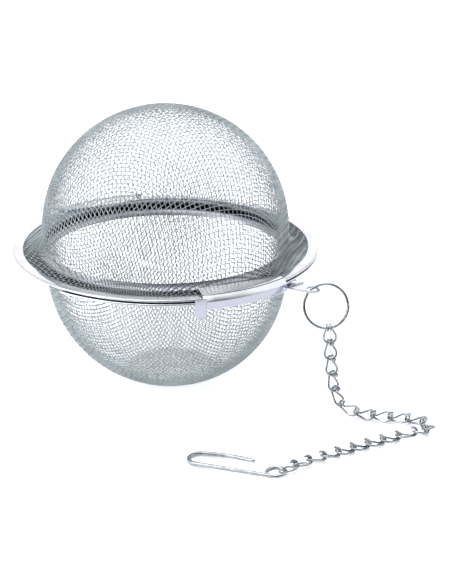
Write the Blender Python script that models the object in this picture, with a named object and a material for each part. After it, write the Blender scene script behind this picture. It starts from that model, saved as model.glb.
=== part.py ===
"""Tea infuser: two woven-wire hemispheres with sheet rims, twist-lock clips, jump ring, chain and hook.

Metres, +Z up. The origin is the centre of the flat underside, on the surface that the ball stands on.
-Y is the front. The ball's axis is Z, and the upper half turns about it to lock and unlock.
"""
import math

import bmesh
import bpy
from mathutils import Matrix, Vector

MM = 0.001

# Ball: radii of the woven walls, and how far each wall's centre is from the plane where the halves
# meet. The lower bowl is a little narrower, and the flat underside takes FOOT_CUT off it.
BALL_RADIUS = 28.3 * MM
BOWL_RADIUS = BALL_RADIUS - 0.6 * MM
WALL_RISE = 4.85 * MM
FOOT_CUT = 2.25 * MM
SPLIT_HEIGHT = BOWL_RADIUS + WALL_RISE - FOOT_CUT
MESH_THICKNESS = 0.5 * MM
LIP_FILLET = 2.3 * MM
FOOT_FILLET = 1.5 * MM
SHELL_STEPS = 36

# Rims: flat folded rings, one on each half, outside the flare of the mesh.
FLARE_WIDTH = 4.3 * MM
RIM_WIDTH = 2.4 * MM
RIM_RADIUS = BALL_RADIUS + FLARE_WIDTH + RIM_WIDTH
RIM_THICKNESS = 0.6 * MM
RIM_EDGE = 0.22 * MM
RIM_STEPS = 72

# Lock clips: folded sheet, two of them half a turn apart, welded on the upper rim. Bearings are in
# degrees from the front, turning towards +X.
CLIP_SHEET = 0.4 * MM
CLIP_START = 12.5
CLIP_END = 46.5
CLIP_LEAF_INSET = 5.2 * MM
CLIP_LEAF_BEARING = 22.4
CLIP_STAND_OFF = 1.1 * MM
CLIP_SHOULDER = 1.2 * MM
CLIP_HOOK_REACH = 1.4 * MM
CLIP_HOOK_DROP = 0.9 * MM
CLIP_STEPS = 8
EAR_WIDTH = 2.5 * MM
EAR_DROP = 4.8 * MM
UNLOCK_TURN = 90.0

# Lug that carries the chain, welded under the lower rim.
LUG_BEARING = 52.0
LUG_ROOT_WIDTH = 4.8 * MM
LUG_ROOT_INSET = 2.0 * MM
LUG_TIP_RADIUS = 1.8 * MM
LUG_EYE_REACH = 5.2 * MM
LUG_EYE_RADIUS = 1.2 * MM
LUG_SHEET = 0.5 * MM

# Jump ring: a round wire ring whose ends lap. Angles are in its plane, from its right-hand side.
RING_RADIUS = 4.85 * MM
RING_WIRE = 0.35 * MM
RING_START = -50.0
RING_LAP = 55.0
RING_LEAN = 21.0
RING_EYE_ANGLE = 132.0
RING_CHAIN_ANGLE = 277.0
RING_REST = 0.3 * MM

# Chain: hairpin links of round wire. The curls of each link close round the bow of the one before.
LINKS = 21
LINK_PITCH = 3.83 * MM
LINK_WIRE = 0.3 * MM
LINK_BOW = 1.4 * MM
LINK_CURL = 0.97 * MM
LINK_CURL_END = 290.0
LINK_TWIST_PLAY = 13.0
LINK_SLIDE_PLAY = 55.0

# Hook at the end of the chain: an eye, a shank, a wide bend and a leg that bows a little outwards.
HOOK_WIRE = 0.5 * MM
HOOK_EYE = 2.0 * MM
HOOK_EYE_TURN = 290.0
HOOK_SHANK = 17.6 * MM
HOOK_BEND = 2.6 * MM
HOOK_LEG = 11.4 * MM
HOOK_BOW = 0.45 * MM
HOOK_HEADING = 153.0
HOOK_PLAY = 0.35 * MM

# Clearances: between pieces that touch, and between two wires.
GAP = 0.3 * MM
WIRE_GAP = 0.1 * MM

# The route that the chain lies along in millimetres, each point with the side that the links face.
# X and Y count from the ring's place for the chain, and Z from the ground.
CHAIN_ROUTE = (
    ((0.2, 0.3, 18.3), (0.0, 1.0, 0.0)),
    ((0.6, 0.3, 14.2), (-0.2, 0.98, 0.0)),
    ((1.1, 0.4, 10.0), (-0.5, 0.85, 0.0)),
    ((1.7, 0.5, 5.8), (-0.8, 0.6, 0.0)),
    ((3.5, 0.3, 2.5), (-0.7, 0.6, -0.4)),
    ((6.8, -1.3, 1.45), (0.0, 0.59, -0.81)),
    ((10.6, -3.1, 1.5), (0.0, 0.59, -0.81)),
    ((14.7, -3.7, 1.5), (0.0, 0.5, -0.85)),
    ((18.6, -4.5, 1.55), (0.0, 0.3, -0.95)),
    ((22.0, -6.1, 1.65), (0.0, 0.1, -1.0)),
    ((22.7, -8.5, 1.7), (0.0, 0.0, -1.0)),
    ((20.4, -10.1, 1.6), (0.0, 0.0, -1.0)),
    ((16.3, -11.5, 1.4), (0.0, 0.0, -1.0)),
    ((11.5, -13.6, 1.35), (0.0, 0.0, -1.0)),
    ((5.5, -16.9, 1.35), (0.0, 0.0, -1.0)),
    ((-0.6, -20.3, 1.4), (0.0, 0.0, -1.0)),
    ((-5.2, -23.1, 1.55), (0.0, -0.5, -0.85)),
    ((-9.0, -25.9, 1.7), (0.3, -0.8, -0.5)),
    ((-12.7, -28.9, 1.8), (0.3, -0.8, -0.5)),
)
ROUTE_STEPS = 12


# Shared shapes

def arc(centre, radius, start, end, steps):
    """Points of an arc in a plane, angles in degrees."""
    points = []
    for step in range(steps + 1):
        angle = math.radians(start + (end - start) * step / steps)
        points.append((centre[0] + radius * math.cos(angle), centre[1] + radius * math.sin(angle)))
    return points


def polar(radius, bearing, height=0.0):
    """A point at a radius from the ball's axis and a bearing from the front."""
    angle = math.radians(bearing)
    return Vector((radius * math.sin(angle), -radius * math.cos(angle), height))


def steel(name, colour, roughness):
    made = bpy.data.materials.new(name)
    made.use_nodes = True
    shader = made.node_tree.nodes["Principled BSDF"]
    shader.inputs["Base Color"].default_value = (*colour, 1.0)
    shader.inputs["Metallic"].default_value = 1.0
    shader.inputs["Roughness"].default_value = roughness
    return made


def add_object(name, data, finish):
    made = bpy.data.objects.new(name, data)
    bpy.context.scene.collection.objects.link(made)
    if not data.materials:
        data.materials.append(finish)
    return made


def mesh_object(name, bm, finish):
    """Finish a closed bmesh as an object with its faces pointing out."""
    bmesh.ops.recalc_face_normals(bm, faces=bm.faces)
    data = bpy.data.meshes.new(name)
    bm.to_mesh(data)
    bm.free()
    data.shade_smooth()
    data.set_sharp_from_angle(angle=math.radians(35))
    return add_object(name, data, finish)


def turned(outline, steps, closed):
    """Turn a profile of (radius, height) points about Z."""
    bm = bmesh.new()
    verts = [bm.verts.new((radius, 0.0, height)) for radius, height in outline]
    edges = [bm.edges.new(pair) for pair in zip(verts, verts[1:])]
    if closed:
        edges.append(bm.edges.new((verts[-1], verts[0])))
    bmesh.ops.spin(
        bm, geom=verts + edges, cent=(0, 0, 0), axis=(0, 0, 1), angle=math.tau,
        steps=steps, use_merge=True,
    )
    bmesh.ops.remove_doubles(bm, verts=bm.verts, dist=0.01 * MM)
    return bm


def plate(outline, low, high):
    """A flat plate with an outline in X and Y."""
    bm = bmesh.new()
    face = bm.faces.new([bm.verts.new((x, y, low)) for x, y in outline])
    top = bmesh.ops.extrude_face_region(bm, geom=[face])["geom"]
    raised = [item for item in top if isinstance(item, bmesh.types.BMVert)]
    bmesh.ops.translate(bm, vec=(0, 0, high - low), verts=raised)
    return bm


def combine(target, tool, operation):
    """Join or cut with a helper that stays hidden."""
    tool.hide_render = True
    tool.display_type = "WIRE"
    change = target.modifiers.new(operation.title(), "BOOLEAN")
    change.operation = operation
    change.solver = "EXACT"
    change.object = tool


def wire(name, points, radius, resolution, finish):
    """A round wire through points, with flat ends."""
    data = bpy.data.curves.new(name, "CURVE")
    data.dimensions = "3D"
    spline = data.splines.new("POLY")
    spline.points.add(len(points) - 1)
    for place, point in zip(spline.points, points):
        place.co = (*point, 1.0)
    spline.use_smooth = True
    data.bevel_depth = radius
    data.bevel_resolution = resolution
    data.use_fill_caps = True
    return add_object(name, data, finish)


# Woven halves

def half_profile(pressed_foot):
    """Outer side of a half, as (radius, height from the split plane), from its lip to its crown."""
    lip = RIM_RADIUS - RIM_WIDTH - GAP
    level = GAP / 2 + RIM_THICKNESS / 2 + MESH_THICKNESS / 2
    wall = BOWL_RADIUS if pressed_foot else BALL_RADIUS
    outline = [(lip, level)]
    outline += arc((wall + LIP_FILLET, level + LIP_FILLET), LIP_FILLET, 270, 180, 4)
    middle = (0.0, WALL_RISE)
    if not pressed_foot:
        return outline + arc(middle, wall, 0, 90, 9)
    rise = SPLIT_HEIGHT - WALL_RISE - FOOT_FILLET
    inset = math.sqrt((wall - FOOT_FILLET) ** 2 - rise**2)
    meeting = math.degrees(math.atan2(rise, inset))
    outline += arc(middle, wall, 0, meeting, 7)
    outline += arc((inset, SPLIT_HEIGHT - FOOT_FILLET), FOOT_FILLET, meeting, 90, 3)[1:]
    return outline + [(0.0, SPLIT_HEIGHT)]


def woven_half(name, side, finish):
    """A thin shell, open at the split plane; side is 1 for the upper half and -1 for the lower."""
    outline = half_profile(pressed_foot=side < 0)
    bm = turned([(r, SPLIT_HEIGHT + side * z) for r, z in outline], SHELL_STEPS, closed=False)
    made = mesh_object(name, bm, finish)
    crown = min(made.data.polygons, key=lambda face: -side * face.center.z)
    if crown.normal.z * side < 0:
        made.data.flip_normals()
    wall = made.modifiers.new("Wall", "SOLIDIFY")
    wall.thickness = MESH_THICKNESS
    wall.offset = -1.0
    wall.use_even_offset = True
    return made


# Rims

def rim(name, side, finish):
    """A flat ring with its outer edge eased, on one side of the split plane."""
    near = GAP / 2
    far = near + RIM_THICKNESS
    inner = RIM_RADIUS - RIM_WIDTH
    eased = RIM_RADIUS - RIM_EDGE
    section = (
        (inner, near), (eased, near), (RIM_RADIUS, near + RIM_EDGE), (RIM_RADIUS, far - RIM_EDGE),
        (eased, far), (inner, far),
    )
    bm = turned([(r, SPLIT_HEIGHT + side * z) for r, z in section], RIM_STEPS, closed=True)
    return mesh_object(name, bm, finish)


def cut_notch(target, name, turn, finish):
    """A recess in the lower rim, where a clip drops through once the halves are turned apart."""
    inner = RIM_RADIUS - CLIP_HOOK_REACH - GAP
    play = 2.0
    first = CLIP_START - math.degrees(EAR_WIDTH / RIM_RADIUS) - play
    last = CLIP_END + play
    inside = [polar(inner, first + (last - first) * step / 10).xy for step in range(11)]
    corners = [polar(RIM_RADIUS + 3 * MM, bearing).xy for bearing in (last, (first + last) / 2, first)]
    bm = plate(inside + corners, SPLIT_HEIGHT - 2 * MM, SPLIT_HEIGHT)
    tool = mesh_object(name, bm, finish)
    tool.rotation_euler.z = math.radians(turn)
    combine(target, tool, "DIFFERENCE")


# Lock clips

def clip_section():
    """Outline of the folded sheet as (radius, height): leaf, shoulder, wall and hook."""
    sheet = CLIP_SHEET
    leaf = SPLIT_HEIGHT + GAP / 2 + RIM_THICKNESS + GAP
    hook = SPLIT_HEIGHT - GAP / 2 - RIM_THICKNESS - CLIP_HOOK_DROP
    step = leaf + sheet - CLIP_SHOULDER
    wall = RIM_RADIUS + CLIP_STAND_OFF
    tip = RIM_RADIUS - CLIP_HOOK_REACH
    inner = RIM_RADIUS - CLIP_LEAF_INSET - sheet
    return [
        (inner, leaf), (RIM_RADIUS, leaf), (wall - sheet, step), (wall - sheet, hook + sheet),
        (tip, hook + sheet), (tip, hook), (wall - sheet / 2, hook), (wall, hook + sheet / 2),
        (wall, step), (RIM_RADIUS + sheet / 2, leaf + sheet * 0.75), (RIM_RADIUS, leaf + sheet),
        (inner, leaf + sheet),
    ]


def ear(name, finish):
    """The rounded tab that hangs at a clip's leading end."""
    wall = RIM_RADIUS + CLIP_STAND_OFF
    top = SPLIT_HEIGHT + GAP / 2 + RIM_THICKNESS + GAP
    half = EAR_WIDTH / 2
    outline = [(half, 0.0), (-half, 0.0)] + arc((0.0, half - EAR_DROP), half, 180, 360, 6)
    bm = plate(outline, 0.0, CLIP_SHEET)
    bearing = CLIP_START - math.degrees(half / wall) + 1.0
    upright = Matrix.Rotation(math.radians(90), 4, "X")
    outwards = Matrix.Translation((0, CLIP_SHEET * 0.9 - wall, top))
    place = Matrix.Rotation(math.radians(bearing), 4, "Z") @ outwards @ upright
    bmesh.ops.transform(bm, matrix=place, verts=bm.verts)
    return mesh_object(name, bm, finish)


def lock_clip(name, turn, finish):
    bm = bmesh.new()
    face = bm.faces.new([bm.verts.new(polar(r, CLIP_START, z)) for r, z in clip_section()])
    bmesh.ops.spin(
        bm, geom=[face], cent=(0, 0, 0), axis=(0, 0, 1),
        angle=math.radians(CLIP_END - CLIP_START), steps=CLIP_STEPS, use_merge=False,
    )
    chord = polar(1.0, CLIP_LEAF_BEARING)
    cut = bmesh.ops.bisect_plane(
        bm, geom=bm.verts[:] + bm.edges[:] + bm.faces[:], dist=0.001 * MM,
        plane_co=chord * (RIM_RADIUS - CLIP_LEAF_INSET), plane_no=chord, clear_inner=True,
    )
    bmesh.ops.holes_fill(bm, edges=[e for e in cut["geom_cut"] if isinstance(e, bmesh.types.BMEdge)])
    made = mesh_object(name, bm, finish)
    tab = ear(name + "_ear", finish)
    combine(made, tab, "UNION")
    for piece in (made, tab):
        piece.rotation_euler.z = math.radians(turn)
    return made


# Lug

def lug_level():
    """Height of the lug's underside, a gap below the lower rim."""
    return SPLIT_HEIGHT - GAP / 2 - RIM_THICKNESS - GAP - LUG_SHEET


def chain_lug(finish):
    """A tongue that tapers to a round tip with an eye in it."""
    half = LUG_ROOT_WIDTH / 2
    root = RIM_RADIUS - LUG_ROOT_INSET
    reach = RIM_RADIUS + LUG_EYE_REACH
    tip = arc((0.0, -reach), LUG_TIP_RADIUS, 350, 190, 10)
    outline = [(-half, -root), (half, -root), (half, -RIM_RADIUS - GAP)] + tip
    outline.append((-half, -RIM_RADIUS - GAP))
    low = lug_level()
    made = mesh_object("chain_lug", plate(outline, low, low + LUG_SHEET), finish)
    bm = bmesh.new()
    bmesh.ops.create_cone(
        bm, cap_ends=True, segments=16, radius1=LUG_EYE_RADIUS, radius2=LUG_EYE_RADIUS,
        depth=4 * LUG_SHEET, matrix=Matrix.Translation((0, -reach, low)),
    )
    eye = mesh_object("chain_lug_eye", bm, finish)
    combine(made, eye, "DIFFERENCE")
    for piece in (made, eye):
        piece.rotation_euler.z = math.radians(LUG_BEARING)
    return made


# Jump ring

def ring_pivot():
    """Where the ring's wire passes through the lug's eye, to one side of its middle."""
    reach = RIM_RADIUS + LUG_EYE_REACH
    return polar(reach, LUG_BEARING, lug_level() + LUG_SHEET / 2) - Vector((RING_REST, 0, 0))


def ring_normal():
    """The direction that the leaning ring faces."""
    lean = math.radians(RING_LEAN)
    return Vector((0, -math.cos(lean), math.sin(lean)))


def ring_point(angle):
    """A point on the middle of the ring's wire, and the wire's direction there."""
    across = Vector((1, 0, 0))
    normal = ring_normal()
    up = normal.cross(across)
    hung = math.radians(RING_EYE_ANGLE)
    centre = ring_pivot() - RING_RADIUS * (math.cos(hung) * across + math.sin(hung) * up)
    turn = math.radians(angle)
    radial = math.cos(turn) * across + math.sin(turn) * up
    beside = (2 * RING_WIRE + WIRE_GAP) * (angle - RING_EYE_ANGLE) / 360
    return centre + RING_RADIUS * radial + beside * normal, normal.cross(radial)


def jump_ring(finish):
    pivot = ring_pivot()
    points = []
    for step in range(33):
        angle = RING_START + (360 + RING_LAP) * step / 32
        points.append(ring_point(angle)[0] - pivot)
    made = wire("jump_ring", points, RING_WIRE, 1, finish)
    made.location = pivot
    return made


# Chain

def link_lean():
    """Angle between a link's flat bow and the line from its curls to its bow."""
    return math.asin(LINK_CURL / LINK_PITCH)


def bow_centre():
    """Centre of a link's bow, and the forward direction in the bow's plane, in the link's own axes."""
    lean = link_lean()
    forward = Vector((math.cos(lean), 0, -math.sin(lean)))
    return Vector((LINK_PITCH, 0, 0)) - LINK_BOW * forward, forward


def link_points():
    """One hairpin wire: a curl, a leg, the bow, the other leg and the other curl."""
    beside = LINK_WIRE + WIRE_GAP / 2
    lean = math.degrees(link_lean())
    centre, forward = bow_centre()
    length = LINK_PITCH * math.cos(link_lean()) - LINK_BOW
    reach = math.hypot(length, beside)
    meeting = math.degrees(math.acos(-LINK_BOW / reach) - math.atan2(beside, length))
    bow = []
    for x, y in arc((0, 0), LINK_BOW, -meeting, meeting, 9):
        bow.append(centre + x * forward + Vector((0, y, 0)))
    curl = arc((0, 0), LINK_CURL, 90 - lean, LINK_CURL_END, 6)
    first = [Vector((x, -beside, z)) for x, z in reversed(curl)]
    last = [Vector((x, beside, z)) for x, z in curl]
    return first + bow + last


def smooth_route():
    """Places close together on a smooth curve through the route, each with its facing."""
    start = ring_point(RING_CHAIN_ANGLE)[0]
    places = [Vector(place) * MM + Vector((start.x, start.y, 0)) for place, _ in CHAIN_ROUTE]
    facings = [Vector(facing) for _, facing in CHAIN_ROUTE]
    onward = (places[-1] - places[-2]).normalized()
    places.append(places[-1] + LINKS * LINK_PITCH * Vector((onward.x, onward.y, 0)))
    facings.append(facings[-1])
    ends = [2 * places[0] - places[1], *places, 2 * places[-1] - places[-2]]
    out = []
    for leg in range(len(places) - 1):
        a, b, c, d = ends[leg:leg + 4]
        for step in range(ROUTE_STEPS):
            t = step / ROUTE_STEPS
            bend = (2 * a - 5 * b + 4 * c - d) * t**2 + (3 * b - a - 3 * c + d) * t**3
            out.append(((2 * b + (c - a) * t + bend) / 2, facings[leg].lerp(facings[leg + 1], t)))
    return out


def square_to(direction, axis):
    """The part of a direction that stands square to an axis."""
    return (direction - direction.dot(axis) * axis).normalized()


def route_ahead(route, place, since):
    """The first point of the route after a given one that is a link's pitch away."""
    for index in range(since, len(route)):
        if (route[index][0] - place).length >= LINK_PITCH:
            return index
    return len(route) - 1


def link_frames():
    """Where each link lies: its joint, the wire it turns on, and its three directions."""
    route = smooth_route()
    centre, forward = bow_centre()
    place, pin = ring_point(RING_CHAIN_ANGLE)
    ahead = 0
    along = route[0][0] - place
    frames = []
    for _ in range(LINKS):
        along = square_to(along, pin)
        facing = square_to(route[ahead][1], along)
        wanted = facing.cross(along)
        if not frames and wanted.dot(pin) < 0:
            pin = -pin
        turn = math.atan2(pin.cross(wanted).dot(along), pin.dot(wanted))
        play = math.radians(LINK_TWIST_PLAY)
        wide = Matrix.Rotation(max(-play, min(play, turn)), 3, along) @ pin
        above = along.cross(wide)
        axes = Matrix((along, wide, above)).transposed()
        frames.append((place, pin, axes))
        ahead_dir = axes @ forward
        bow = place + axes @ centre
        ahead = route_ahead(route, place + LINK_PITCH * along, ahead)
        slide = 0.0
        for _ in range(4):
            place = bow + LINK_BOW * (math.cos(slide) * ahead_dir + math.sin(slide) * wide)
            along = route[ahead][0] - place
            slide = math.atan2(along.dot(wide), along.dot(ahead_dir))
            most = math.radians(LINK_SLIDE_PLAY)
            slide = max(-most, min(most, slide))
        place = bow + LINK_BOW * (math.cos(slide) * ahead_dir + math.sin(slide) * wide)
        pin = math.cos(slide) * wide - math.sin(slide) * ahead_dir
    return frames


def chain(frames, finish):
    points = link_points()
    for number, (place, _, axes) in enumerate(frames, start=1):
        made = wire(f"chain_link_{number:02d}", points, LINK_WIRE, 1, finish)
        made.matrix_world = Matrix.Translation(place) @ axes.to_4x4()


# Hook

def hook_points():
    """The hook's wire in its own plane, from the eye's end to the tip; X runs down the shank from the eye."""
    turns = arc((0, 0), HOOK_EYE, 90 + HOOK_EYE_TURN, 90, 14)
    shank = [(HOOK_SHANK * share, HOOK_EYE) for share in (0.3, 0.65, 0.97)]
    bend = arc((HOOK_SHANK, HOOK_EYE - HOOK_BEND), HOOK_BEND, 90, -90, 10)
    heel = HOOK_EYE - 2 * HOOK_BEND
    leg = []
    for share in (0.14, 0.3, 0.45, 0.6, 0.75, 0.88, 1.0):
        leg.append((HOOK_SHANK - HOOK_LEG * share, heel - HOOK_BOW * math.sin(math.pi * share)))
    return turns + shank + bend + leg


def hang_hook(last, finish):
    """The hook's eye runs through the last link's bow, lifted by it, and its bend lies on the ground."""
    place, pin, axes = last
    place = place + LINK_PITCH * axes.col[0]
    outward = axes @ bow_centre()[1]
    level = Vector((outward.x, outward.y, 0)).normalized()
    inside = LINK_WIRE + HOOK_WIRE + HOOK_PLAY
    eye = place - inside * outward + HOOK_EYE * level
    heading = math.radians(HOOK_HEADING)
    drop = (eye.z - HOOK_WIRE) / (HOOK_SHANK + HOOK_BEND)
    down = Vector((math.cos(heading), math.sin(heading), -drop)).normalized()
    side = Vector((0, 0, 1)).cross(down).normalized()
    axes = Matrix((down, side, down.cross(side))).transposed()
    points = [Vector((x, y, 0)) for x, y in hook_points()]
    made = wire("hang_hook", points, HOOK_WIRE, 2, finish)
    made.matrix_world = Matrix.Translation(eye) @ axes.to_4x4()


def main():
    for old in list(bpy.data.objects):
        bpy.data.objects.remove(old, do_unlink=True)

    bright = steel("polished_steel_sheet", (0.78, 0.79, 0.81), 0.16)
    woven = steel("woven_steel_wire", (0.66, 0.67, 0.70), 0.30)
    drawn = steel("drawn_steel_wire", (0.72, 0.73, 0.75), 0.20)

    woven_half("lower_mesh_bowl", -1, woven)
    lower_rim = rim("lower_rim", -1, bright)
    cut_notch(lower_rim, "notch_left", -UNLOCK_TURN, bright)
    cut_notch(lower_rim, "notch_right", 180 - UNLOCK_TURN, bright)
    chain_lug(bright)

    upper = bpy.data.objects.new("upper_half_axis", None)
    upper.location = (0, 0, SPLIT_HEIGHT)
    bpy.context.scene.collection.objects.link(upper)
    upper_pieces = [
        woven_half("upper_mesh_dome", 1, woven),
        rim("upper_rim", 1, bright),
        lock_clip("lock_clip_front", 0.0, bright),
        lock_clip("lock_clip_back", 180.0, bright),
    ]
    for piece in upper_pieces:
        piece.parent = upper
        piece.matrix_parent_inverse = Matrix.Translation((0, 0, -SPLIT_HEIGHT))

    jump_ring(drawn)
    frames = link_frames()
    chain(frames, drawn)
    hang_hook(frames[-1], drawn)


main()
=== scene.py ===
"""Tea infuser: a ball of two woven steel halves, with rims, lock clips, a lug, a chain and a hook."""
import math

import bmesh
import bpy
import numpy as np
from bpy.props import (
    BoolProperty, FloatProperty, FloatVectorProperty, IntProperty, PointerProperty, StringProperty)
from mathutils import Euler, Matrix, Vector


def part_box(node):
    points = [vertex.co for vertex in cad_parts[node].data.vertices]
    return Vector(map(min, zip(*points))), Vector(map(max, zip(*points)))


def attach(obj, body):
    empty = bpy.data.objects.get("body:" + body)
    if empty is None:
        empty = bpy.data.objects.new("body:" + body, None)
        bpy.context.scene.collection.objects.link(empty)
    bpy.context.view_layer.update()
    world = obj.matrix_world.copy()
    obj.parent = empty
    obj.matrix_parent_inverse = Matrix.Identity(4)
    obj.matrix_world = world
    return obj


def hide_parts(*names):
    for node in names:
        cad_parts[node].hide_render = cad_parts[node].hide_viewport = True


bl_info = {
    "name": "Mesh Tea Ball",
    "version": (1, 0, 0),
    "blender": (4, 5, 0),
    "location": "View3D > Sidebar > Tea Ball",
    "description": "Makes a woven steel tea ball with its rims, clips, chain and hook",
    "category": "Add Mesh",
}

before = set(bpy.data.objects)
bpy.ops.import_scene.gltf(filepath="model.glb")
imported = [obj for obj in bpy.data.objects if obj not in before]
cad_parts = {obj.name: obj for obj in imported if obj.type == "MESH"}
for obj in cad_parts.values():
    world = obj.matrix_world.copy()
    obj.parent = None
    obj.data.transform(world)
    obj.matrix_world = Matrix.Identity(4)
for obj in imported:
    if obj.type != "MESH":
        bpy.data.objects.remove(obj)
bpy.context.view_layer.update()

MM = 0.001
LINKS = sorted(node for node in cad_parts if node.startswith("chain_link_"))
RIM_LOW, RIM_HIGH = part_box("upper_rim")
RIM_WIDTH = 2.4 * MM
RIM_INSIDE = RIM_HIGH[0] - RIM_WIDTH
# The split plane between the two rims, and the middle of the upper rim above it.
SPLIT = (RIM_LOW[2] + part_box("lower_rim")[1][2]) / 2
LIP_LEVEL = (RIM_LOW[2] + RIM_HIGH[2]) / 2 - SPLIT

# Points nearer than MERGE are one point, faces within FLAT_ANGLE of each other are one face, folds over
# CUT_ANGLE are edges to round, and the shading breaks at folds over SMOOTH_ANGLE.
MERGE = 0.002 * MM
FLAT_ANGLE = math.radians(1)
CUT_ANGLE = math.radians(28)
SMOOTH_ANGLE = math.radians(40)
# How far the jump ring's flats are pushed out, so that the rounded wire has its full radius.
RING_SWELL = 0.02 * MM
# How far the lip is worked out past its bend. The cloth is then cut off at the tuck.
LIP_RUN = 8 * MM
# Newton steps for each crossing of the net, and the small term that keeps them solvable.
NET_STEPS = 7
NET_DAMPING = 1e-6
# How far the collar runs in under the rim, its gap to the wires, and its faces around the axis.
COLLAR_UNDER = 0.4 * MM
COLLAR_GAP = 0.02 * MM
COLLAR_FACES = 120


# Settings

class WeaveSettings(bpy.types.PropertyGroup):
    """The woven wire cloth of both halves."""
    pitch: FloatProperty(
        name="Pitch", description="Distance between two neighbouring wires of the dome",
        default=1.07 * MM, min=0.5 * MM, max=3 * MM, unit="LENGTH")
    bowl_pitch: FloatProperty(
        name="Bowl Pitch", description="Distance between two neighbouring wires of the bowl",
        default=0.94 * MM, min=0.5 * MM, max=3 * MM, unit="LENGTH")
    wire: FloatProperty(
        name="Wire", description="Radius of each wire",
        default=0.092 * MM, min=0.05 * MM, max=0.5 * MM, unit="LENGTH")
    crimp: FloatProperty(
        name="Crimp", description="How far a wire swings out of the cloth's middle at a crossing",
        default=0.14 * MM, min=0.0, max=0.5 * MM, unit="LENGTH")
    turn: FloatProperty(
        name="Turn", description="Direction of the dome's wires about the ball's axis",
        default=math.radians(27), subtype="ANGLE")
    bowl_turn: FloatProperty(
        name="Bowl Turn", description="Direction of the bowl's wires about the ball's axis",
        default=math.radians(42), subtype="ANGLE")
    tuck: FloatProperty(
        name="Tuck", description="How far the wires run in under the rim",
        default=1.3 * MM, min=0.0, max=2 * MM, unit="LENGTH")


class BallSettings(bpy.types.PropertyGroup):
    """The shape that the cloth is pressed to, measured at the middle of the cloth."""
    radius: FloatProperty(
        name="Radius", description="Radius of the round wall",
        default=28.02 * MM, min=10 * MM, max=60 * MM, unit="LENGTH")
    bowl_radius: FloatProperty(
        name="Bowl Radius", description="Radius of the lower half's round wall",
        default=27.45 * MM, min=10 * MM, max=60 * MM, unit="LENGTH")
    bowl_drift: FloatProperty(
        name="Bowl Drift", description="How far the bowl's underside sits towards +X of its rim",
        default=0.9 * MM, min=-3 * MM, max=3 * MM, unit="LENGTH")
    rise: FloatProperty(
        name="Rise", description="Height of the wall's centre from the split plane",
        default=4.85 * MM, min=1 * MM, max=20 * MM, unit="LENGTH")
    lip: FloatProperty(
        name="Lip Bend", description="Radius of the bend from the wall to the flat lip",
        default=2.55 * MM, min=0.5 * MM, max=8 * MM, unit="LENGTH")
    foot: FloatProperty(
        name="Foot Bend", description="Radius of the bend round the lower half's flat underside",
        default=1.3 * MM, min=0.5 * MM, max=8 * MM, unit="LENGTH")


class FinishSettings(bpy.types.PropertyGroup):
    """Edges and colours of the sheet and wire pieces."""
    edge: FloatProperty(
        name="Edge", description="Rounding of the cut edges of the sheet pieces",
        default=0.07 * MM, min=0.0, max=0.3 * MM, unit="LENGTH")
    rim_edge: FloatProperty(
        name="Rim Edge", description="Rounding of the folded edges of the rims",
        default=0.16 * MM, min=0.0, max=0.3 * MM, unit="LENGTH")
    rounding: IntProperty(
        name="Rounding", description="Subdivision of the wire pieces", default=1, min=0, max=2)
    sheet: StringProperty(
        name="Sheet Colour", description="Polished sheet, as sRGB hex", default="#E4E6EA")
    sheet_shade: StringProperty(
        name="Sheet Shade", description="Duller patches of the sheet, as sRGB hex", default="#D2D4DA")
    cloth: StringProperty(
        name="Cloth Colour", description="Woven wire, as sRGB hex", default="#B0B8BC")
    cloth_shade: StringProperty(
        name="Cloth Shade", description="Duller patches of the cloth, as sRGB hex", default="#9EA6AA")
    drawn: StringProperty(
        name="Wire Colour", description="Drawn wire, as sRGB hex", default="#A8AEB2")
    drawn_shade: StringProperty(
        name="Wire Shade", description="Duller patches of the wire, as sRGB hex", default="#8A9094")
    # Painted shade: the greyer colour that sheet faces standing upright are mixed towards.
    upright: StringProperty(
        name="Upright Colour", description="Sheet faces that stand upright, as sRGB hex",
        default="#A6A8B4")
    # Painted shadow: the dark line on the narrow faces along a fold.
    crease_shadow: StringProperty(
        name="Crease Colour", description="The line along a fold, as sRGB hex", default="#4A4A54")


class CollarSettings(bpy.types.PropertyGroup):
    """The thin inner sheet of each rim, which backs the cloth round the bend."""
    sheet: FloatProperty(
        name="Sheet", description="Thickness of the inner sheet",
        default=0.1 * MM, min=0.05 * MM, max=0.3 * MM, unit="LENGTH")
    reach: FloatProperty(
        name="Reach", description="How far round the bend the sheet goes up the wall",
        default=math.radians(66), subtype="ANGLE")
    colour: StringProperty(name="Colour", description="Sheet, as sRGB hex", default="#B0B0B8")
    # Painted shade: the groove at the seam between the rims is painted near black, darkest within
    # Groove of the split plane and gone by Groove End.
    seam: StringProperty(
        name="Seam Colour", description="The groove at the seam, as sRGB hex", default="#141418")
    groove: FloatProperty(
        name="Groove", description="How far from the split plane the groove is at its darkest",
        default=0.35 * MM, min=0.0, max=2 * MM, unit="LENGTH")
    groove_end: FloatProperty(
        name="Groove End", description="How far from the split plane the groove ends",
        default=0.8 * MM, min=0.0, max=3 * MM, unit="LENGTH")


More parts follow.
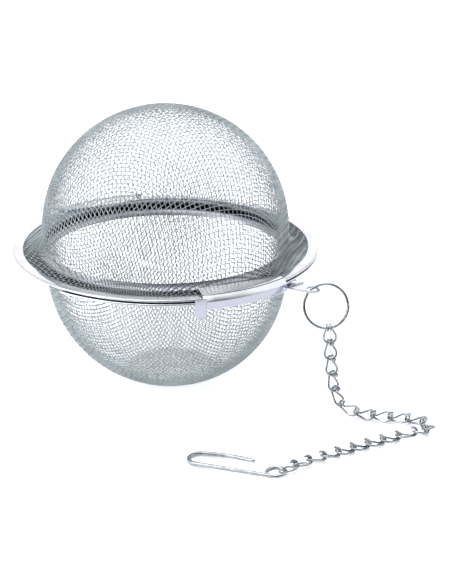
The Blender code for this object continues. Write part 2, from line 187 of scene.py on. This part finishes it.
class StageSettings(bpy.types.PropertyGroup):
    """Camera, floor and lights."""
    lens: FloatProperty(name="Lens", description="Focal length in millimetres", default=107.4, min=20)
    place: FloatVectorProperty(
        name="Camera", description="Place of the camera", default=(0.0, -0.37602, 0.16841),
        subtype="TRANSLATION", unit="LENGTH")
    pitch: FloatProperty(
        name="Pitch", description="How far the camera looks down",
        default=math.radians(21.67), subtype="ANGLE")
    yaw: FloatProperty(
        name="Yaw", description="How far the camera looks to its right",
        default=math.radians(2.10), subtype="ANGLE")
    floor: StringProperty(name="Floor Colour", description="Floor, as sRGB hex", default="#F4F4F6")
    floor_size: FloatProperty(
        name="Floor", description="Half the side of the floor", default=3.0, min=0.5, unit="LENGTH")
    floor_glow: FloatProperty(
        name="Floor Glow", description="Light that the floor gives off", default=0.35, min=0)
    tent: FloatProperty(name="Tent", description="Brightness of the white tent", default=1.3, min=0)
    top_power: FloatProperty(name="Top Light", description="Power in watts", default=5.0, min=0)
    left_power: FloatProperty(name="Left Light", description="Power in watts", default=2.5, min=0)


class TeaBallSettings(bpy.types.PropertyGroup):
    """All settings of the tea ball."""
    weave: PointerProperty(type=WeaveSettings)
    ball: PointerProperty(type=BallSettings)
    finish: PointerProperty(type=FinishSettings)
    collar: PointerProperty(type=CollarSettings)
    stage: PointerProperty(type=StageSettings)


# Colours, shader nodes and materials. The scale of a noise is its number of cells in a metre.

def linear(code):
    """Linear RGBA from an sRGB hex colour."""
    out = []
    for start in (1, 3, 5):
        value = int(code[start:start + 2], 16) / 255
        out.append(value / 12.92 if value <= 0.04045 else ((value + 0.055) / 1.055) ** 2.4)
    return (*out, 1.0)


def add(tree, kind, links=None, **settings):
    """A shader node with its settings and input links. A link's key is a socket's name or number."""
    node = tree.nodes.new(kind)
    for key, value in settings.items():
        if key.startswith("in_"):
            socket = key[3:].replace("_", " ")
            node.inputs[int(socket) if socket.isdigit() else socket].default_value = value
        else:
            setattr(node, key, value)
    for key, source in (links or {}).items():
        tree.links.new(source, node.inputs[key])
    return node


def object_place(tree):
    return add(tree, "ShaderNodeTexCoord").outputs["Object"]


def ramp(tree, fac, low, high, start=0.0, end=1.0):
    """A colour that goes from low at start to high at end."""
    made = add(tree, "ShaderNodeValToRGB", {"Fac": fac})
    for element, place, colour in zip(made.color_ramp.elements, (start, end), (low, high)):
        element.position = place
        element.color = colour
    return made.outputs["Color"]


def tone(tree, place, scale, shade, colour):
    """A soft noise between two colours, and the noise itself."""
    noise = add(tree, "ShaderNodeTexNoise", {"Vector": place}, in_Scale=scale, in_Detail=3.0)
    fac = noise.outputs["Fac"]
    return ramp(tree, fac, linear(shade), linear(colour), 0.35, 0.65), fac


def mix(tree, fac, colour, other):
    """A colour with another one over it, by a share."""
    return add(
        tree, "ShaderNodeMix", {0: fac, 6: colour}, data_type="RGBA", in_7=linear(other)).outputs[2]


def rough_range(tree, fac, low, high):
    spread = add(tree, "ShaderNodeMapRange", {"Value": fac}, in_To_Min=low, in_To_Max=high)
    return spread.outputs["Result"]


def metal(name, colour, roughness):
    """A metal's material, its tree and its shader. The last two are None once the material is made."""
    made = bpy.data.materials.get(name)
    if made:
        return made, None, None
    made = bpy.data.materials.new(name)
    made.use_nodes = True
    shader = made.node_tree.nodes["Principled BSDF"]
    shader.inputs["Base Color"].default_value = linear(colour)
    shader.inputs["Metallic"].default_value = 1.0
    shader.inputs["Roughness"].default_value = roughness
    return made, made.node_tree, shader


def polished_sheet(finish):
    """304 stainless sheet, tumble polished: near-mirror, with faint handling marks and slight waves.

    The faces that stand upright are cut edges, greyer by a painted shade. The narrow faces that just
    turn off the flat are fold lines, darkened by a painted shadow line.
    """
    made, tree, shader = metal("stainless_sheet_polished", finish.sheet, 0.16)
    if not tree:
        return made
    place = object_place(tree)
    colour, _ = tone(tree, place, 160.0, finish.sheet_shade, finish.sheet)
    # Painted shade: faces that stand up from the flat are mixed towards the greyer upright colour.
    stands = add(tree, "ShaderNodeAttribute", attribute_name="upright").outputs["Fac"]
    upright_shade = add(tree, "ShaderNodeMapRange", {"Value": stands}, in_From_Min=0.35, in_From_Max=0.9)
    colour = mix(tree, upright_shade.outputs["Result"], colour, finish.upright)
    # Painted shadow: faces tilted only a little off the flat, along a fold, take a dark line.
    fold = add(tree, "ShaderNodeMath", {0: stands}, operation="COMPARE", in_1=0.12, in_2=0.09)
    colour = mix(tree, fold.outputs[0], colour, finish.crease_shadow)
    tree.links.new(colour, shader.inputs["Base Color"])
    # Handling scratches about 0.2 mm apart, stretched to lines.
    stretch = add(tree, "ShaderNodeMapping", {"Vector": place}, in_Scale=(1.0, 6.0, 1.0))
    fine = add(
        tree, "ShaderNodeTexNoise", {"Vector": stretch.outputs["Vector"]},
        in_Scale=900.0, in_Detail=4.0)
    tree.links.new(rough_range(tree, fine.outputs["Fac"], 0.10, 0.24), shader.inputs["Roughness"])
    # Waves about 4 mm across, from the pressing.
    waves = add(tree, "ShaderNodeTexNoise", {"Vector": place}, in_Scale=260.0, in_Detail=1.0)
    bump = add(
        tree, "ShaderNodeBump", {"Height": waves.outputs["Fac"]},
        in_Strength=0.25, in_Distance=0.08 * MM)
    tree.links.new(bump.outputs["Normal"], shader.inputs["Normal"])
    return made


def wire_steel(name, colour, shade, roughness, scale, smoothest, roughest):
    """A wire's material: one soft noise sets both its tone and its roughness."""
    made, tree, shader = metal(name, colour, roughness)
    if tree:
        tint, noise = tone(tree, object_place(tree), scale, shade, colour)
        tree.links.new(tint, shader.inputs["Base Color"])
        tree.links.new(rough_range(tree, noise, smoothest, roughest), shader.inputs["Roughness"])
    return made


def woven_wire(finish):
    """Annealed stainless wire cloth: bright drawn wires, each a little duller where it was pressed."""
    return wire_steel(
        "stainless_wire_cloth", finish.cloth, finish.cloth_shade, roughness=0.3, scale=220.0,
        smoothest=0.36, roughest=0.5)


def drawn_wire(finish):
    """Hard drawn stainless wire: bright, with faint marks of the die and of bending."""
    return wire_steel(
        "stainless_wire_drawn", finish.drawn, finish.drawn_shade, roughness=0.2, scale=500.0,
        smoothest=0.12, roughest=0.28)


def rolled_collar(collar):
    """The inner sheet of a rim: dull rolled steel, with a painted shade that goes near black in the
    groove at the seam.
    """
    made, tree, shader = metal("stainless_sheet_rolled", collar.colour, 0.3)
    if not tree:
        return made
    # Painted shade: near the split plane the colour turns to the near-black seam colour.
    height = add(tree, "ShaderNodeSeparateXYZ", {"Vector": object_place(tree)}).outputs["Z"]
    off = add(tree, "ShaderNodeMath", {0: height}, operation="SUBTRACT", in_1=SPLIT).outputs[0]
    depth = add(tree, "ShaderNodeMath", {0: off}, operation="ABSOLUTE").outputs[0]
    share = add(
        tree, "ShaderNodeMapRange", {"Value": depth}, interpolation_type="SMOOTHSTEP",
        in_From_Min=collar.groove, in_From_Max=collar.groove_end).outputs["Result"]
    colour = ramp(tree, share, linear(collar.seam), linear(collar.colour))
    tree.links.new(colour, shader.inputs["Base Color"])
    return made


# Meshes

def settings():
    return bpy.context.scene.tea_ball


def new_mesh(name, bm):
    """The mesh of a bmesh, which is freed."""
    mesh = bpy.data.meshes.new(name)
    bm.to_mesh(mesh)
    bm.free()
    return mesh


def link_piece(name, mesh, material):
    made = bpy.data.objects.new(name, mesh)
    bpy.context.scene.collection.objects.link(made)
    mesh.materials.clear()
    mesh.materials.append(material)
    mesh.polygons.foreach_set("use_smooth", [True] * len(mesh.polygons))
    mesh.update()
    return made


def stands_for(piece, body, slot, *nodes):
    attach(piece, body)
    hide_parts(*nodes)


def node_bmesh(node):
    """A merged copy of a CAD node's mesh."""
    bm = bmesh.new()
    bm.from_mesh(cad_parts[node].data)
    bmesh.ops.remove_doubles(bm, verts=bm.verts, dist=MERGE)
    return bm


def sheet_piece(name, node, edge, material):
    """A sheet piece with its cut edges rounded."""
    bm = node_bmesh(node)
    bmesh.ops.dissolve_limit(
        bm, angle_limit=FLAT_ANGLE, verts=bm.verts, edges=bm.edges, use_dissolve_boundaries=False)
    cut = [e for e in bm.edges if e.is_manifold and e.calc_face_angle(0.0) > CUT_ANGLE]
    bmesh.ops.bevel(
        bm, geom=cut, offset=edge, offset_type="OFFSET", affect="EDGES", segments=2, profile=0.5,
        material=-1, clamp_overlap=True)
    mesh = new_mesh(name, bm)
    made = link_piece(name, mesh, material)
    mesh.set_sharp_from_angle(angle=SMOOTH_ANGLE)
    # How far each face stands up from the flat, which the polished sheet's material reads for its
    # painted shade and painted fold shadow.
    slope = mesh.attributes.new("upright", "FLOAT", "FACE")
    slope.data.foreach_set("value", [1.0 - abs(face.normal.z) for face in mesh.polygons])
    return made


# The cloth

def arc_points(centre, radius, start, end, step=0.25 * MM):
    """Points along an arc, between two angles in degrees."""
    count = max(2, int(abs(math.radians(end - start)) * radius / step))
    angles = np.radians(np.linspace(start, end, count + 1))
    return np.stack([centre[0] + radius * np.cos(angles), centre[1] + radius * np.sin(angles)], 1)


def cloth_profile(flat_foot):
    """(radius, height from the split plane) of the cloth's middle, from the crown out under the rim."""
    ball = settings().ball
    wall = ball.bowl_radius if flat_foot else ball.radius
    parts = []
    if flat_foot:
        weave = settings().weave
        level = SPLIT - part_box("lower_mesh_bowl")[0][2] - weave.wire - weave.crimp
        rise = level - ball.rise - ball.foot
        inset = math.sqrt((wall - ball.foot) ** 2 - rise**2)
        meeting = math.degrees(math.atan2(rise, inset))
        parts.append(np.array([(0.0, level), (inset / 2, level)]))
        parts.append(arc_points((inset, level - ball.foot), ball.foot, 90, meeting))
        parts.append(arc_points((0.0, ball.rise), wall, meeting, 0))
    else:
        parts.append(arc_points((0.0, ball.rise), wall, 90, 0))
    parts.append(arc_points((wall + ball.lip, LIP_LEVEL + ball.lip), ball.lip, 180, 270))
    parts.append(np.array([(wall + ball.lip + LIP_RUN, LIP_LEVEL)]))
    return np.concatenate(parts)


class Surface:
    """A surface of revolution from a profile, with the nearest point and normal for many points."""

    def __init__(self, profile, step=0.1 * MM):
        run = np.concatenate([[0.0], np.cumsum(np.linalg.norm(np.diff(profile, axis=0), axis=1))])
        self.run = np.arange(0.0, run[-1], step)
        self.points = np.stack([np.interp(self.run, run, profile[:, k]) for k in (0, 1)], 1)
        tangent = np.gradient(self.points, axis=0)
        tangent /= np.linalg.norm(tangent, axis=1)[:, None]
        self.normals = np.stack([-tangent[:, 1], tangent[:, 0]], 1)

    def at(self, run):
        return np.array([np.interp(run, self.run, self.points[:, k]) for k in (0, 1)])

    def measure(self, points):
        """Distance off the surface and the outward normal, at each point."""
        radius = np.maximum(np.hypot(points[:, 0], points[:, 1]), 1e-9)
        flat = np.stack([radius, points[:, 2]], 1)
        nearest = np.argmin(((flat[:, None] - self.points[None]) ** 2).sum(2), axis=1)
        normal = self.normals[nearest]
        off = ((flat - self.points[nearest]) * normal).sum(1)
        around = points[:, :2] / radius[:, None]
        return off, np.concatenate([normal[:, :1] * around, normal[:, 1:]], 1)


def net(surface, pitch, most_radius):
    """Crossings of a square cloth pressed to the surface: every cell keeps the length of its sides."""
    count = int(surface.run[-1] / pitch)
    grid = np.full((count, count, 3), np.nan)
    for index in range(count):
        radius, height = surface.at(index * pitch)
        if radius <= most_radius:
            grid[index, 0] = (radius, 0.0, height)
            grid[0, index] = (0.0, radius, height)
    for front in range(2, 2 * count):
        i = np.arange(max(1, front - count + 1), min(front, count))
        j = front - i
        left, down, back = grid[i - 1, j], grid[i, j - 1], grid[i - 1, j - 1]
        ready = ~np.isnan(left[:, 0] + down[:, 0] + back[:, 0])
        if not ready.any():
            continue
        i, j, left, down, back = i[ready], j[ready], left[ready], down[ready], back[ready]
        place = left + down - back
        for _ in range(NET_STEPS):
            off, normal = surface.measure(place)
            rows = np.stack([2 * (place - left), 2 * (place - down), normal], 1)
            sides = [((place - before) ** 2).sum(1) - pitch**2 for before in (left, down)]
            wrong = np.stack([*sides, off], 1)
            rows[:, :2] /= pitch
            wrong[:, :2] /= pitch
            rows += NET_DAMPING * np.eye(3)
            step = np.linalg.solve(rows, wrong[..., None])[..., 0]
            place = place - np.clip(step, -0.5 * pitch, 0.5 * pitch)
        kept = np.hypot(place[:, 0], place[:, 1]) <= most_radius
        grid[i[kept], j[kept]] = place[kept]
    return grid


def threads(grid, surface, weave, family):
    """The wires of one family as lists of points, waving over and under the other family."""
    if family:
        grid = grid.transpose(1, 0, 2)
    along, across = (1, 0) if family else (0, 1)
    first_side = -1.0 if family else 1.0
    count = len(grid)
    out = []
    for line in range(1 - count, count):
        row = grid[:, abs(line)].copy()
        missing = np.isnan(row[:, 0])
        last = int(missing.argmax()) if missing.any() else count
        if last < 2:
            continue
        row = row[:last]
        if line < 0:
            row[:, across] *= -1
        mirrored = row[:0:-1].copy()
        mirrored[:, along] *= -1
        points = np.concatenate([mirrored, row])
        number = np.arange(1 - last, last) + line
        side = np.where(number % 2 == 0, first_side, -first_side)
        _, normal = surface.measure(points)
        woven = np.empty((2 * len(points) - 1, 3))
        woven[0::2] = points + normal * (side * weave.crimp)[:, None]
        woven[1::2] = (points[1:] + points[:-1]) / 2
        out.append(woven)
    return out


def tubes(name, lines, radius, material):
    """Round wires along lines of points, as one mesh."""
    curve = bpy.data.curves.new(name, "CURVE")
    curve.dimensions = "3D"
    curve.bevel_depth = radius
    curve.bevel_resolution = 0
    curve.use_fill_caps = True
    for line in lines:
        spline = curve.splines.new("POLY")
        spline.points.add(len(line) - 1)
        flat = np.concatenate([line, np.ones((len(line), 1))], 1)
        spline.points.foreach_set("co", flat.ravel())
    holder = bpy.data.objects.new(name + "_lines", curve)
    bpy.context.scene.collection.objects.link(holder)
    evaluated = holder.evaluated_get(bpy.context.evaluated_depsgraph_get())
    mesh = bpy.data.meshes.new_from_object(evaluated)
    mesh.name = name
    bpy.data.objects.remove(holder)
    bpy.data.curves.remove(curve)
    return link_piece(name, mesh, material)


class TEABALL_OT_woven_half(bpy.types.Operator):
    """Weave one half of the ball from two families of wires"""
    bl_idname = "tea_ball.woven_half"
    bl_label = "Woven Half"
    upper: BoolProperty(name="Upper", description="Make the upper half", default=True)

    def execute(self, context):
        weave = settings().weave
        if self.upper:
            node, body, side = "upper_mesh_dome", "upper_half", 1
            pitch, turn, drift = weave.pitch, weave.turn, 0.0
        else:
            node, body, side = "lower_mesh_bowl", "lower_half", -1
            pitch, turn, drift = weave.bowl_pitch, weave.bowl_turn, settings().ball.bowl_drift
        surface = Surface(cloth_profile(flat_foot=not self.upper))
        grid = net(surface, pitch, RIM_INSIDE + weave.tuck)
        place = Matrix.Translation((0, 0, SPLIT)) @ Matrix.Rotation(turn, 4, "Z")
        place = place @ Matrix.Diagonal((1, 1, side, 1))
        material = woven_wire(settings().finish)
        for family, label in enumerate(("warp", "weft")):
            lines = threads(grid, surface, weave, family)
            made = tubes(f"{node}_{label}", lines, weave.wire, material)
            made.data.transform(place)
            if not self.upper:
                made.data.flip_normals()
                for vert in made.data.vertices:
                    vert.co.x += drift * min(1.0, max(0.0, (SPLIT - vert.co.z) / SPLIT))
            stands_for(made, body, "woven_steel", node)
        return {"FINISHED"}


class TEABALL_OT_rims(bpy.types.Operator):
    """Round the cut edges of the two flat rims"""
    bl_idname = "tea_ball.rims"
    bl_label = "Rims"

    def execute(self, context):
        finish = settings().finish
        material = polished_sheet(finish)
        for node, body in (("upper_rim", "upper_half"), ("lower_rim", "lower_half")):
            made = sheet_piece(node + "_folded", node, finish.rim_edge, material)
            stands_for(made, body, "polished_sheet", node)
        return {"FINISHED"}


class TEABALL_OT_collars(bpy.types.Operator):
    """Spin the inner sheet of each rim"""
    bl_idname = "tea_ball.collars"
    bl_label = "Inner Collars"

    def execute(self, context):
        ball, collar, weave = settings().ball, settings().collar, settings().weave
        inner = ball.lip + weave.crimp + weave.wire + COLLAR_GAP
        outer = inner + collar.sheet
        edge = RIM_INSIDE + COLLAR_UNDER
        reach = 270 - math.degrees(collar.reach)
        material = rolled_collar(collar)
        for side, node, body in ((1, "upper_rim", "upper_half"), (-1, "lower_rim", "lower_half")):
            wall = ball.radius if side > 0 else ball.bowl_radius
            centre = (wall + ball.lip, LIP_LEVEL + ball.lip)
            outline = [
                (edge, centre[1] - inner), *arc_points(centre, inner, 270, reach),
                *arc_points(centre, outer, reach, 270), (edge, centre[1] - outer)]
            bm = bmesh.new()
            points = [bm.verts.new((r, 0, SPLIT + side * z)) for r, z in outline]
            edges = [bm.edges.new(pair) for pair in zip(points, points[1:] + points[:1])]
            bmesh.ops.spin(
                bm, geom=points + edges, cent=(0, 0, 0), axis=(0, 0, 1), angle=2 * math.pi,
                steps=COLLAR_FACES, use_merge=True)
            bmesh.ops.remove_doubles(bm, verts=bm.verts, dist=MERGE)
            bmesh.ops.recalc_face_normals(bm, faces=bm.faces)
            name = node + "_collar"
            mesh = new_mesh(name, bm)
            made = link_piece(name, mesh, material)
            mesh.set_sharp_from_angle(angle=SMOOTH_ANGLE)
            stands_for(made, body, "polished_sheet", node)
        return {"FINISHED"}


class TEABALL_OT_sheet_fittings(bpy.types.Operator):
    """Round the cut edges of the lock clips and the lug"""
    bl_idname = "tea_ball.sheet_fittings"
    bl_label = "Clips and Lug"

    def execute(self, context):
        finish = settings().finish
        material = polished_sheet(finish)
        bodies = {
            "lock_clip_front": "upper_half", "lock_clip_back": "upper_half", "chain_lug": "lower_half"}
        for node, body in bodies.items():
            made = sheet_piece(node + "_pressed", node, finish.edge, material)
            stands_for(made, body, "polished_sheet", node)
        return {"FINISHED"}


class TEABALL_OT_wire_fittings(bpy.types.Operator):
    """Round off the jump ring, the chain's links and the hook"""
    bl_idname = "tea_ball.wire_fittings"
    bl_label = "Ring, Chain and Hook"

    def execute(self, context):
        finish = settings().finish
        material = drawn_wire(finish)
        for node in ("jump_ring", *LINKS, "hang_hook"):
            bm = node_bmesh(node)
            if node == "jump_ring":
                for vert in bm.verts:
                    vert.co += vert.normal * RING_SWELL
            made = link_piece(node + "_bent", new_mesh(node + "_bent", bm), material)
            round_off = made.modifiers.new("Round", "SUBSURF")
            round_off.levels = round_off.render_levels = finish.rounding
            stands_for(made, node, "drawn_wire", node)
        return {"FINISHED"}


# Stage

def soft_light(name, place, target, size, power):
    data = bpy.data.lights.new(name, "AREA")
    data.shape = "RECTANGLE"
    data.size, data.size_y = size
    data.energy = power
    made = bpy.data.objects.new(name, data)
    made.location = place
    made.rotation_euler = (Vector(target) - Vector(place)).to_track_quat("-Z", "Y").to_euler()
    bpy.context.scene.collection.objects.link(made)


class TEABALL_OT_stage(bpy.types.Operator):
    """Set the floor, the soft lights and the camera"""
    bl_idname = "tea_ball.stage"
    bl_label = "Stage"

    def execute(self, context):
        stage = settings().stage
        scene = context.scene
        bm = bmesh.new()
        bmesh.ops.create_grid(bm, x_segments=1, y_segments=1, size=stage.floor_size)
        paint = bpy.data.materials.new("paper_floor_matt")
        paint.use_nodes = True
        shader = paint.node_tree.nodes["Principled BSDF"]
        shader.inputs["Base Color"].default_value = linear(stage.floor)
        shader.inputs["Roughness"].default_value = 0.9
        shader.inputs["Specular IOR Level"].default_value = 0.1
        shader.inputs["Emission Color"].default_value = linear(stage.floor)
        shader.inputs["Emission Strength"].default_value = stage.floor_glow
        link_piece("floor", new_mesh("floor", bm), paint)

        world = bpy.data.worlds.new("studio")
        scene.world = world
        world.use_nodes = True
        # A white tent with a dark opening on the camera's side, which gives the metal its dark lines.
        opening = (0.30, -0.95, 0.05)
        tree = world.node_tree
        place = add(tree, "ShaderNodeTexCoord").outputs["Generated"]
        toward = add(tree, "ShaderNodeVectorMath", {0: place}, operation="DOT_PRODUCT", in_1=opening)
        white, dark = (1.0, 1.0, 1.0, 1.0), (0.06, 0.06, 0.08, 1.0)
        background = tree.nodes["Background"]
        tent = ramp(tree, toward.outputs["Value"], white, dark, 0.35, 0.75)
        tree.links.new(tent, background.inputs["Color"])
        background.inputs["Strength"].default_value = stage.tent

        middle = (0.02, -0.01, 0.02)
        soft_light("top_light", (-0.1, 0.1, 0.9), middle, (0.9, 0.7), stage.top_power)
        soft_light("left_light", (-0.8, -0.3, 0.45), middle, (0.5, 0.5), stage.left_power)

        scene.view_settings.view_transform = "Standard"
        lens = bpy.data.cameras.new("camera")
        lens.lens = stage.lens
        lens.sensor_width = 36.0
        lens.clip_start = 0.01
        camera = bpy.data.objects.new("camera", lens)
        camera.location = stage.place
        camera.rotation_euler = Euler((math.pi / 2 - stage.pitch, 0.0, -stage.yaw))
        scene.collection.objects.link(camera)
        scene.camera = camera
        return {"FINISHED"}


class TEABALL_PT_panel(bpy.types.Panel):
    bl_idname = "TEABALL_PT_panel"
    bl_label = "Tea Ball"
    bl_space_type = "VIEW_3D"
    bl_region_type = "UI"
    bl_category = "Tea Ball"

    def draw(self, context):
        groups = context.scene.tea_ball
        for group in (groups.ball, groups.weave, groups.collar, groups.finish, groups.stage):
            box = self.layout.box()
            for key in group.__annotations__:
                box.prop(group, key)
        column = self.layout.column()
        for operator in OPERATORS:
            if operator is TEABALL_OT_woven_half:
                column.operator(operator.bl_idname, text="Woven Bowl").upper = False
                column.operator(operator.bl_idname, text="Woven Dome").upper = True
            else:
                column.operator(operator.bl_idname)


OPERATORS = (
    TEABALL_OT_stage, TEABALL_OT_woven_half, TEABALL_OT_rims, TEABALL_OT_collars,
    TEABALL_OT_sheet_fittings, TEABALL_OT_wire_fittings,
)
CLASSES = (
    WeaveSettings, BallSettings, FinishSettings, CollarSettings, StageSettings, TeaBallSettings,
    *OPERATORS, TEABALL_PT_panel,
)


def register():
    for kind in CLASSES:
        bpy.utils.register_class(kind)
    bpy.types.Scene.tea_ball = PointerProperty(type=TeaBallSettings)


def unregister():
    del bpy.types.Scene.tea_ball
    for kind in reversed(CLASSES):
        bpy.utils.unregister_class(kind)


def main():
    register()
    bpy.ops.tea_ball.stage()
    bpy.ops.tea_ball.woven_half(upper=False)
    bpy.ops.tea_ball.woven_half(upper=True)
    bpy.ops.tea_ball.rims()
    bpy.ops.tea_ball.collars()
    bpy.ops.tea_ball.sheet_fittings()
    bpy.ops.tea_ball.wire_fittings()


if __name__ == "__main__":
    main()
